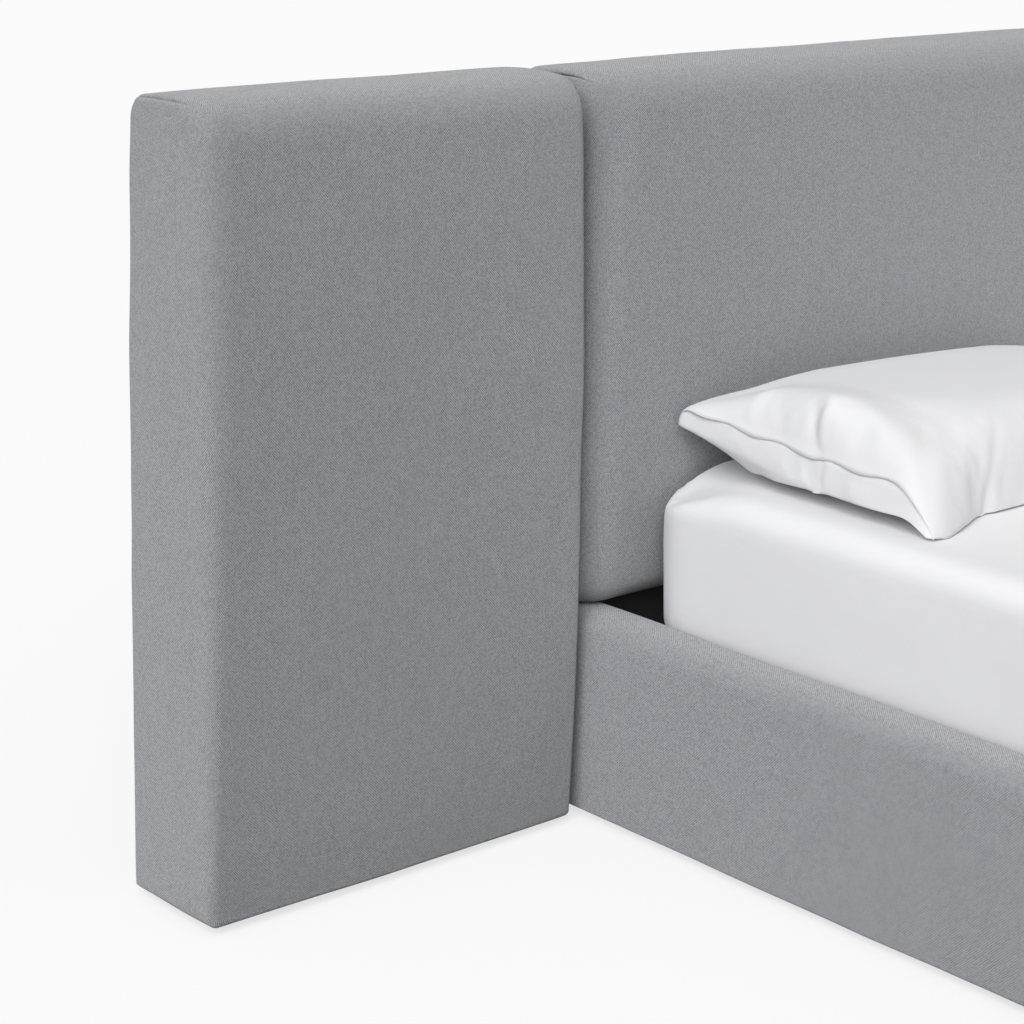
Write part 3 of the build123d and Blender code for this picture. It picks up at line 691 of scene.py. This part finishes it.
# Creases of the sheet: a fan from each corner, a pull along the sides, and a long and a short swell on top
FAN_DEPTH, FAN_REACH, FAN_SETBACK = 0.5 * MM, 160 * MM, 20 * MM
FAN_FOLDS, FAN_SWAY, FAN_SWAY_TURN = 26, 2.2, 9
PULL_DEPTH, PULL_REACH, PULL_TURN, PULL_LEAN = 0.8 * MM, 400 * MM, 38, 5
PULL_HEIGHT_SHARE, PULL_SPREAD_SHARE = 0.45, 0.35
SHEET_SWELLS = (500 * MM, 0.8 * MM, 41), (160 * MM, 0.35 * MM, 42)


def mattress_field(low, high, inset):
    """Field of the mattress: sides that draw in at the bottom, and corners that the sheet pulls down."""
    middle, half = (low + high) / 2, (high - low) / 2 - (inset, inset, 0)

    def field(p):
        s, q, t = ((p - middle) / half).T
        bow = MATTRESS_BOW * np.maximum(t, 0) ** 3 + MATTRESS_LEAN * smooth(-t, *LEAN_BLEND)
        beside_x = half[0] - np.abs(p[:, 0] - middle[0])
        beside_y = half[1] - np.abs(p[:, 1] - middle[1])
        end_x, end_y = bow - beside_x, bow - beside_y
        corner = np.hypot(np.maximum(beside_x, 0), np.maximum(beside_y, 0))
        droop = MATTRESS_DROOP * np.clip(1 - corner / DROOP_REACH, 0, 1) ** 1.7
        from_end = np.where(q > 0, beside_y, corner)
        softer = smooth(from_end, SHOULDER_FROM_SHARE * SHOULDER_REACH, SHOULDER_REACH)
        edge = SHOULDER_EDGE + (MATTRESS_TOP - SHOULDER_EDGE) * softer
        fall = MATTRESS_CROWN * (np.abs(s) ** 6 + np.abs(q) ** 6) + droop
        top = (p[:, 2] - middle[2]) - (half[2] - inset - fall)
        bottom = (middle[2] - p[:, 2]) - half[2]
        plan = rounded(end_x, end_y, MATTRESS_CORNER - inset)
        return rounded(rounded(plan, top, edge - inset), bottom, MATTRESS_BOTTOM - inset)
    return field


def make_core():
    """The mattress itself, in its ticking."""
    low, high = node_box("mattress_core")
    box, faces, sides = box_grid(cut_lines(low, high, MATTRESS_MARGIN, CORE_STEP))
    points = wrap(box, low, high, MATTRESS_MARGIN, mattress_field(low, high, CORE_INSET))
    cloth = unrolled_cloth(box, faces, sides, low, high, "y")
    core = new_piece("mattress_ticking", points, faces, materials["ticking"], cloth)
    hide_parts("mattress_core")
    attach(core, "mattress")


def make_sheet():
    """The fitted sheet, drawn over the mattress and tucked in underneath."""
    low, high = node_box("fitted_sheet")
    lines = cut_lines(low, high, MATTRESS_MARGIN, SHEET_STEP)
    for axis in (0, 1):
        lines[axis] = np.unique([*lines[axis], low[axis] + SHEET_TUCK, high[axis] - SHEET_TUCK])
    box, faces, sides = box_grid(lines)
    points = wrap(box, low, high, MATTRESS_MARGIN, mattress_field(low, high, 0.0))
    kept = []
    for face, side in zip(faces, sides):
        middle = box[face].mean(axis=0)
        edge = np.minimum(middle - low, high - middle)[:2].min()
        if side != "-z" or edge < SHEET_TUCK:
            kept.append((face, side))
    faces, sides = zip(*kept)
    used, faces = renumbered(faces)
    box, points = box[used], points[used]
    amount = -sheet_creases(box, low, high)
    outer = push(points, faces, amount)
    inner = push(points, faces, np.minimum(amount, 0) - SHEET_CLOTH)
    cloth = unrolled_cloth(box, faces, sides, low, high, "y")
    sheet = thick_sheet("fitted_sheet_cloth", outer, inner, faces, cloth, materials["sheet"])
    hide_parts("fitted_sheet")
    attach(sheet, "mattress")


def sheet_creases(box, low, high):
    """Shallow tension creases that run from the sheet's corners, and a soft unevenness on top."""
    middle, half = (low + high) / 2, (high - low) / 2
    s, q = (box[:, 0] - middle[0]) / half[0], (box[:, 1] - middle[1]) / half[1]
    t = (box[:, 2] - low[2]) / (high[2] - low[2])
    beside_x, beside_y = half[0] * (1 - np.abs(s)), half[1] * (1 - np.abs(q))
    corner = np.hypot(beside_x, beside_y)
    angle = np.arctan2(beside_x + FAN_SETBACK, beside_y + FAN_SETBACK)
    fan = np.sin(angle * FAN_FOLDS + FAN_SWAY * np.sin(corner * FAN_SWAY_TURN)) * np.exp(-corner / FAN_REACH)
    side = np.exp(-((t - PULL_HEIGHT_SHARE) / PULL_SPREAD_SHARE) ** 2) * np.exp(-corner / PULL_REACH)
    pull = np.sin((box[:, 0] + box[:, 1]) * PULL_TURN + t * PULL_LEAN) * side
    swell = sum(unevenness(box, *settings) for settings in SHEET_SWELLS)
    return SHEET_EASE + fan * FAN_DEPTH + pull * PULL_DEPTH + np.clip(swell, -SHEET_EASE, SHEET_EASE)


def renumbered(faces):
    """The points that the faces use, and the faces with those points numbered anew."""
    used = np.unique([corner for face in faces for corner in face])
    place = {corner: number for number, corner in enumerate(used.tolist())}
    return used, [[place[corner] for corner in face] for face in faces]


def edge_uses(faces):
    """For each edge, the faces that use it, with its two corners in the face's order."""
    uses = {}
    for number, face in enumerate(faces):
        for a, b in zip(face, face[1:] + face[:1]):
            uses.setdefault((min(a, b), max(a, b)), []).append((number, a, b))
    return uses.values()


def thick_sheet(name, outer, inner, faces, cloth, material):
    """A sheet with two sides, joined round its rim."""
    count = len(outer)
    back = [[corner + count for corner in reversed(face)] for face in faces]
    rim = [[b, a, a + count, b + count] for (_, a, b), *others in edge_uses(faces) if not others]
    corners = [cloth[4 * number:4 * number + 4] for number in range(len(faces))]
    place = {corner: spot for face, spots in zip(faces, corners) for corner, spot in zip(face, spots)}
    cloth = cloth + [spot for spots in corners for spot in reversed(spots)]
    cloth += [place[corner % count] for face in rim for corner in face]
    return new_piece(name, np.vstack([outer, inner]), faces + back + rim, material, cloth)


PILLOW_CUT = (0.915, 0.508)
PILLOW_CELL = 11.5 * MM
PILLOW_START = 12 * MM
MOUTH_FROM_SHARE, MOUTH_OPENS_SHARE, MOUTH_HEIGHT, MOUTH_STRIPS = 0.9, 0.1, 40 * MM, 4
MOUTH_LOW, MOUTH_FRONT_RISE, MOUTH_REAR_RISE = 8 * MM, 20 * MM, 58 * MM
MOUTH_SETBACK, MOUTH_REACH, MOUTH_FULL, MOUTH_TIP_CUT = 8 * MM, 150 * MM, 12 * MM, 4 * MM
BAND_HEIGHT, BAND_REAR_LOSS, BAND_FRONT_SHARE = 60 * MM, 24 * MM, 0.05
TIP_FROM_SHARE, TIP_CUT_SHARE = 0.84, 0.05
HEM_REACH, HEM_ROWS, HEM_CURL, HEM_TUCK, HEM_FLARE_SHARE = 11 * MM, 2, 2.5 * MM, 4 * MM, 0.3
HEM_WAVE_SHARE, HEM_WAVE_TURN, HEM_WAVE_START, HEM_END_LOSS_SHARE = 0.25, 15, 2, 0.6
TOP_LAYER, UNDER_LAYER, MOUTH_BAND = range(3)
PILLOW_FRAMES, QUICK_FILL_SHARE = 12, 0.85
CASE_SETTINGS = {
    "quality": 5, "mass": 0.3, "tension_stiffness": 15, "compression_stiffness": 15, "shear_stiffness": 5,
    "bending_stiffness": 0.3, "air_damping": 2, "use_pressure": True, "use_pressure_volume": True,
    "uniform_pressure_force": 2.0, "target_volume": 0.036,
}
SEAM_AT_FRONT, SEAM_RISE, PILLOW_FORWARD, FRONT_FULL = 1 * MM, 78 * MM, 14 * MM, 10 * MM
UNDER_DEPTH, PILLOW_GAP, REST_SOFTNESS = 84 * MM, 0.5 * MM, 4 * MM
CROWN_HEIGHT, CROWN_OUT_SHARE = 144 * MM, 0.12
TIP_DROOP, TIP_FORWARD, TIP_BACK, TIP_SHARE = 31 * MM, 20 * MM, 8 * MM, 0.05
TIP_WAY, TIP_BLUNTED, TIP_LOSS_SHARE = (0.3, -0.75, -0.6), 15 * MM, 0.7
FAR_TIP_DROOP, FAR_TIP_REACH = 20 * MM, 60 * MM
CASE_CLOTH = 1.1 * MM
FILLING_INSET, FILLING_INSET_SHARE, FILLING_PASSES, FILLING_SOFTNESS = 5 * MM, 0.3, 30, 0.5
FILLING_SETBACK, FILLING_REACH = 30 * MM, 70 * MM


def envelope():
    """Pillowcase as it is cut: two layers joined on three sides, and the flap that closes its open end."""
    columns, rows = round(PILLOW_CUT[0] / PILLOW_CELL), round(PILLOW_CUT[1] / PILLOW_CELL)
    s, q = np.linspace(-1, 1, columns + 1), np.linspace(-1, 1, rows + 1)
    points, faces, parts = [], [], []
    top = np.zeros((rows + 1, columns + 1), int)
    under = top.copy()
    for r in range(rows + 1):
        near_tip = max(0.0, (abs(q[r]) - TIP_FROM_SHARE) / (1 - TIP_FROM_SHARE))
        reach = 1 - TIP_CUT_SHARE * near_tip ** 2
        for c in range(columns + 1):
            middle = math.sqrt((1 - s[c] ** 2) * (1 - q[r] ** 2))
            opened = max(0.0, (s[c] - MOUTH_FROM_SHARE) / MOUTH_OPENS_SHARE)
            apart = opened * (1 - q[r] ** 6) * MOUTH_HEIGHT / 2
            x = s[c] * PILLOW_CUT[0] / 2 * (reach if s[c] > 0 else 1)
            place = (x, q[r] * PILLOW_CUT[1] / 2, PILLOW_START * middle + apart)
            top[r, c] = under[r, c] = len(points)
            points.append(place)
            if 0 < r < rows and c > 0:
                under[r, c] = len(points)
                points.append((place[0], place[1], -place[2]))
    for r in range(rows):
        for c in range(columns):
            faces.append([top[r, c], top[r, c + 1], top[r + 1, c + 1], top[r + 1, c]])
            parts.append(TOP_LAYER)
            faces.append([under[r, c], under[r + 1, c], under[r + 1, c + 1], under[r, c + 1]])
            parts.append(UNDER_LAYER)
    lines = [top[:, columns]]
    for strip in range(1, MOUTH_STRIPS):
        line = top[:, columns].copy()
        for r in range(1, rows):
            high, low = np.array(points[top[r, columns]]), np.array(points[under[r, columns]])
            line[r] = len(points)
            points.append(tuple(high + (low - high) * strip / MOUTH_STRIPS))
        lines.append(line)
    lines.append(under[:, columns])
    for high, low in zip(lines, lines[1:]):
        for r in range(rows):
            face = [high[r], low[r], low[r + 1], high[r + 1]]
            faces.append([corner for number, corner in enumerate(face) if corner not in face[:number]])
            parts.append(MOUTH_BAND)
    return np.array(points), [[int(corner) for corner in face] for face in faces], np.array(parts)


def worked(piece):
    """Points and faces of an object as its modifiers leave them. The object is removed."""
    result = piece.evaluated_get(bpy.context.evaluated_depsgraph_get()).to_mesh()
    points = np.array([vertex.co for vertex in result.vertices])
    faces = [list(polygon.vertices) for polygon in result.polygons]
    mesh = piece.data
    bpy.data.objects.remove(piece)
    bpy.data.meshes.remove(mesh)
    return points, faces


def inflated(points, faces):
    """The envelope blown up by a filling, as cloth."""
    piece = new_object("work", points, faces)
    cloth = piece.modifiers.new("cloth", "CLOTH")
    for key, value in CASE_SETTINGS.items():
        setattr(cloth.settings, key, value)
    cloth.settings.effector_weights.gravity = 0
    cloth.collision_settings.use_collision = False
    cloth.point_cache.frame_start, cloth.point_cache.frame_end = 1, PILLOW_FRAMES
    for number in range(1, PILLOW_FRAMES + 1):
        bpy.context.scene.frame_set(number)
    points = worked(piece)[0]
    bpy.context.scene.frame_set(1)
    return points


def refined(points, faces, parts):
    """Finer, rounder cloth, with the part that each of its faces belongs to."""
    piece = new_object("work", points, faces)
    piece.modifiers.new("finer", "SUBSURF").levels = 1
    parts = np.repeat(parts, [len(face) for face in faces])
    points, faces = worked(piece)
    return points, faces, parts


def filling_shape(points, faces):
    """The shape of a case's filling: its corners and seams drawn in, and its surface inside the cloth."""
    piece = new_object("work", points, faces)
    softer = piece.modifiers.new("softer", "SMOOTH")
    softer.factor, softer.iterations = FILLING_SOFTNESS, FILLING_PASSES
    points = worked(piece)[0]
    tree = BVHTree.FromPolygons([tuple(point) for point in points], faces)
    amount = []
    for point, way in zip(points, outward_ways(points, faces)):
        thickness = tree.ray_cast(Vector(point - way * CASE_CLOTH / 10), Vector(-way))[3] or 0
        amount.append(-min(FILLING_INSET, thickness * FILLING_INSET_SHARE))
    return push(points, faces, np.array(amount))


def laid(points, low, high, side):
    """The pillow on the mattress, open end outwards: flat below, crowned above, with its rear seam raised."""
    low = low - (0, PILLOW_FORWARD, 0)
    least, most = points.min(axis=0), points.max(axis=0)
    s, q, t = ((points - least) / (most - least) * 2 - 1).T
    middle, half = (low + high) / 2, (high - low) / 2
    seam = SEAM_AT_FRONT + SEAM_RISE * ((q + 1) / 2) ** 1.5
    crown = CROWN_HEIGHT * (1 + CROWN_OUT_SHARE * s)
    far_tip = np.hypot((1 + s) * half[0], (1 + q) * half[1])
    droop = FAR_TIP_DROOP * np.exp(-(far_tip / FAR_TIP_REACH) ** 2)
    height = seam - droop + np.where(t > 0, t * (crown - seam), t * UNDER_DEPTH)
    height = (height + np.sqrt(height ** 2 + REST_SOFTNESS ** 2)) / 2
    full = FRONT_FULL * (1 - s ** 6) * ((1 - q) / 2) ** 2
    x, y = middle[0] + side * s * half[0], middle[1] + q * half[1] - full
    return np.column_stack([x, y, low[2] + PILLOW_GAP + height])


def mouth_line(points, faces, parts, layer):
    """Points along the edge where one layer of the case meets the flap, from the foot to the head."""
    first, second = ({corner for face, part in zip(faces, parts) if part == wanted for corner in face}
                     for wanted in (layer, MOUTH_BAND))
    line = points[sorted(first & second)]
    return line[np.argsort(line[:, 1])]


def with_mouth(points, faces, parts, low, high, side):
    """The open end in shape: its lower edge raised towards the head, and its upper edge set back."""
    edges = [mouth_line(points, faces, parts, layer) for layer in (UNDER_LAYER, TOP_LAYER)]
    y = points[:, 1]
    v = np.clip((y - y.min()) / (y.max() - y.min()), 0, 1)
    under_x, under_z, top_x, top_z = [
        np.interp(y, edge[:, 1], edge[:, axis]) for edge in edges for axis in (0, 2)]
    near_tip, near_back = np.exp(-(v / TIP_SHARE) ** 2), np.exp(-((1 - v) / TIP_SHARE) ** 2)
    far_from_tips = np.sqrt(np.clip(1 - np.abs(2 * v - 1) ** 26, 0, 1))
    rise = MOUTH_FRONT_RISE * (1 - v) ** 4 + MOUTH_REAR_RISE * v ** 1.5
    under = low[2] + MOUTH_LOW + rise - TIP_DROOP * near_tip
    band = (BAND_HEIGHT - BAND_REAR_LOSS * v ** 3) * (1 - np.exp(-v / BAND_FRONT_SHARE))
    top = under + band * far_from_tips
    end = high[0] if side > 0 else -low[0]
    under_end = end - MOUTH_TIP_CUT * (1 - far_from_tips)
    top_end = under_end - MOUTH_SETBACK * far_from_tips
    share = np.clip((points[:, 2] - under_z) / np.maximum(top_z - under_z, 1 * MM), 0, 1)
    weight = smooth(side * points[:, 0] - end, -MOUTH_REACH, -MOUTH_FULL)
    moved = points.copy()
    moved[:, 2] += weight * ((1 - share) * (under - under_z) + share * (top - top_z))
    moved[:, 0] += weight * ((1 - share) * (side * under_end - under_x) + share * (side * top_end - top_x))
    moved[:, 1] += weight * (TIP_BACK * near_back - TIP_FORWARD * near_tip)
    way = np.array((side * TIP_WAY[0], *TIP_WAY[1:])) / np.linalg.norm(TIP_WAY)
    along = moved @ way
    past = np.maximum(along - (along.max() - TIP_BLUNTED), 0)
    return moved - way * (past * TIP_LOSS_SHARE)[:, None]


def hemmed(points, faces, parts, side):
    """The case's cloth: its top layer reaches past the mouth as a hem, with the flap's edge tucked below."""
    edges, outward, count = [], np.zeros_like(points), np.zeros(len(points), int)
    for uses in edge_uses(faces):
        if {parts[number] for number, _, _ in uses} != {TOP_LAYER, MOUTH_BAND}:
            continue
        number, a, b = next(use for use in uses if parts[use[0]] == TOP_LAYER)
        middle = points[faces[number]].mean(axis=0)
        edges.append((a, b))
        for corner in (a, b):
            outward[corner] += (points[a] + points[b]) / 2 - middle
            count[corner] += 1
    along = np.nonzero(count)[0]
    way = outward[along] / np.linalg.norm(outward[along], axis=1)[:, None] + (side * HEM_FLARE_SHARE, 0, 0)
    way /= np.linalg.norm(way, axis=1)[:, None]
    q = points[along, 1]
    q = (q - q.min()) / (q.max() - q.min()) * 2 - 1
    wave = 1 + HEM_WAVE_SHARE * np.sin(q * HEM_WAVE_TURN + HEM_WAVE_START)
    reach = HEM_REACH * wave * (1 - HEM_END_LOSS_SHARE * q ** 8)
    rows = [dict(zip(along, along))]
    made = [points]
    for row in range(1, HEM_ROWS + 1):
        share = row / HEM_ROWS
        line = points[along] + way * (reach * share)[:, None]
        line[:, 2] -= HEM_CURL * share ** 2
        rows.append({corner: sum(map(len, made)) + place for place, corner in enumerate(along)})
        made.append(line)
    below = {corner: sum(map(len, made)) + place for place, corner in enumerate(along) if count[corner] > 1}
    made.append(points[along] - (side * HEM_TUCK, 0, HEM_TUCK))
    cloth = [[below.get(corner, corner) for corner in face] if part == MOUTH_BAND else face
             for face, part in zip(faces, parts)]
    for first, second in zip(rows, rows[1:]):
        cloth += [[first[b], first[a], second[a], second[b]] for a, b in edges]
    used, cloth = renumbered(cloth)
    return np.vstack(made)[used], cloth


def flat_cloth(points, faces):
    """Cloth coordinates of a piece that lies level, as seen from above."""
    return [tuple(points[corner][:2]) for face in faces for corner in face]


def make_pillow(side, word, shape):
    """One pillow: the case as a thick cloth, open at its outer end, and the filling inside it."""
    points, faces, parts = shape
    low, high = node_box(f"pillowcase_{word}")
    points = with_mouth(laid(points, low, high, side), faces, parts, low, high, side)
    if side < 0:
        faces = [face[::-1] for face in faces]
    outer, cloth_faces = hemmed(points, faces, parts, side)
    inner = push(outer, cloth_faces, np.full(len(outer), -CASE_CLOTH))
    case = thick_sheet(f"pillowcase_{word}_cloth", outer, inner, cloth_faces, flat_cloth(outer, cloth_faces),
                       materials["pillowcase"])
    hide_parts(f"pillowcase_{word}")
    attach(case, f"pillow_{word}")

    inside = filling_shape(points, faces)
    from_seam = np.abs(inside[:, 0]) - min(abs(low[0]), abs(high[0]))
    inside[:, 0] += side * FILLING_SETBACK * np.exp(-(from_seam / FILLING_REACH) ** 2)
    filling = new_piece(f"pillow_{word}_filling", inside, faces, materials["fill"], flat_cloth(inside, faces))
    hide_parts(f"pillow_insert_{word}")
    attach(filling, f"pillow_{word}")


def make_pillows():
    """Both pillows, from one simulated shape."""
    points, faces, parts = envelope()
    shape = refined(inflated(points, faces), faces, parts)
    for side, word in ((-1, "left"), (1, "right")):
        make_pillow(side, word, shape)


# Which material goes on which rigid piece: the first pattern that fits
FINISHES = (
    ("*_glides", "plastic"), ("*_bolts", "bolt"), ("*_plates", "steel"), ("*_brackets", "steel"),
    ("*_hangers", "steel"), ("levelling_foot_*", "steel"), ("*_leg_*", "timber_z"),
    ("slat_ledge_*", "timber_y"), ("centre_beam", "timber_y"), ("*_frame", "timber_x"), ("slats_*", "slat"),
    # The head rail's black lining is partly its real lining and partly painted shade: a dark sheet for the
    # deep gap under the headboard
    ("slat_webbing_*", "webbing"), ("*_back_panel", "lining"), ("head_rail", "lining"), ("*_board", "ply"),
)


def finish_nodes():
    """Materials on the rigid pieces."""
    for name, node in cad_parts.items():
        found = [material for pattern, material in FINISHES if fnmatch(name, pattern)]
        if found:
            node.data.materials.clear()
            node.data.materials.append(materials[found[0]])


make_camera()
make_studio()
materials = {
    "grey": grey_cloth(),
    "sheet": white_cotton("sheet_cotton", WHITE_COTTON, crease=1.6 * MM),
    "pillowcase": white_cotton("pillow_cotton", PILLOW_COTTON, crease=2.2 * MM),
    "fill": white_cotton("fill_cotton", FILL_COTTON, crease=3.0 * MM),
    "ticking": ticking(),
    "timber_x": timber("pine_across", PINE_TONES, grain_axis=0),
    "timber_y": timber("pine_along", PINE_TONES, grain_axis=1),
    "timber_z": timber("pine_upright", PINE_TONES, grain_axis=2),
    "slat": timber("birch_slat", BIRCH_TONES, grain_axis=0, ring=55.0, roughness=0.5),
    "ply": timber("plywood_face", PLY_TONES, grain_axis=2, ring=30.0, roughness=0.65),
    "lining": lining(),
    "webbing": webbing_tape(),
    "steel": coated_steel(),
    "bolt": plated_steel(),
    "plastic": moulded_plastic(),
}
finish_nodes()
make_panel("headboard", HEADBOARD_BOTTOM_RADIUS, HEADBOARD_END, HEADBOARD_END, seed=3)
make_panel("wing_left", WING_BOTTOM_RADIUS, OUTER_END, INNER_END, seed=5)
make_panel("wing_right", WING_BOTTOM_RADIUS, INNER_END, OUTER_END, seed=7)
make_rails()
make_core()
make_sheet()
make_pillows()

bpy.context.scene.view_settings.view_transform = "Standard"
